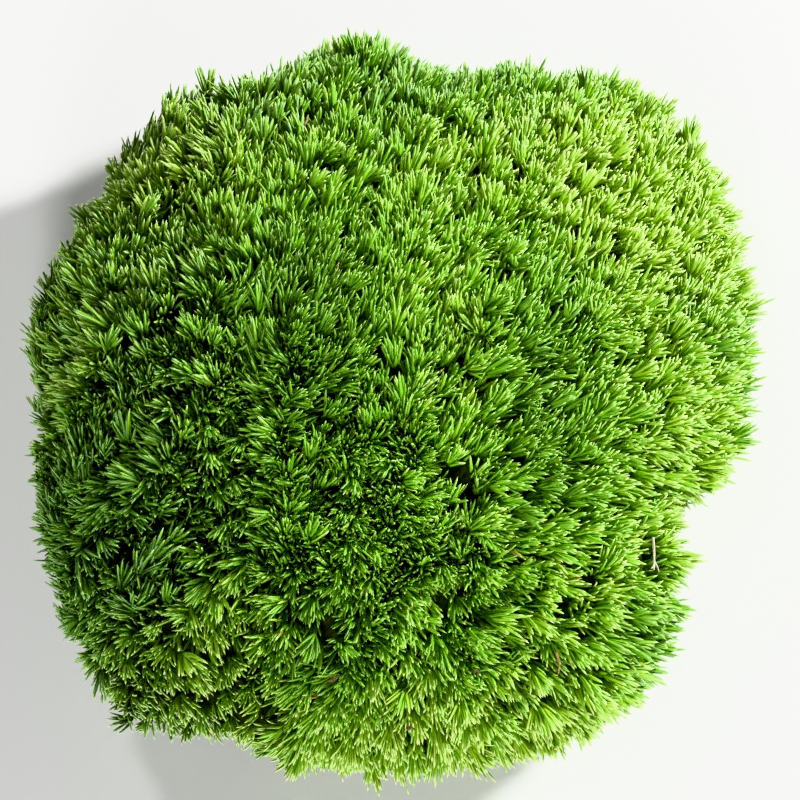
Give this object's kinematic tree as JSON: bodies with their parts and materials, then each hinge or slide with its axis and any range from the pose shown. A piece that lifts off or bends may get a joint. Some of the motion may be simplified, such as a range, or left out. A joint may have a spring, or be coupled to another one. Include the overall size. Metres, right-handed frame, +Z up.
{
  "type": "moss clump",
  "caption": "Low domed clump of cushion moss: dense tufts of short narrow leaves in joined lobes on a thin flat root mat, with dry plant bits caught in it",
  "frame": {"origin": "on the ground, under the middle of the clump's plan", "axes": "+Z up, -Y towards the front that the picture shows, +X to the right of that front"},
  "size_m": [0.2066, 0.2244, 0.068],
  "materials": {
    "moss": "soft living moss, glossy leaf tips",
    "root_mat": "matt brown felt of old stems, rootlets and soil",
    "dry_straw": "dry and matt",
    "dead_leaf": "dry and matt"
  },
  "bodies": {
    "root": {"moss_cushion": "moss", "root_mat": "root_mat", "dry_stalk": "dry_straw", "dry_needle": "dry_straw", "leaf_crumb_front": "dead_leaf", "leaf_crumb_edge": "dead_leaf", "leaf_crumb_middle": "dead_leaf", "leaf_crumb_right": "dead_leaf", "leaf_crumb_back": "dead_leaf"}
  },
  "joints": []
}
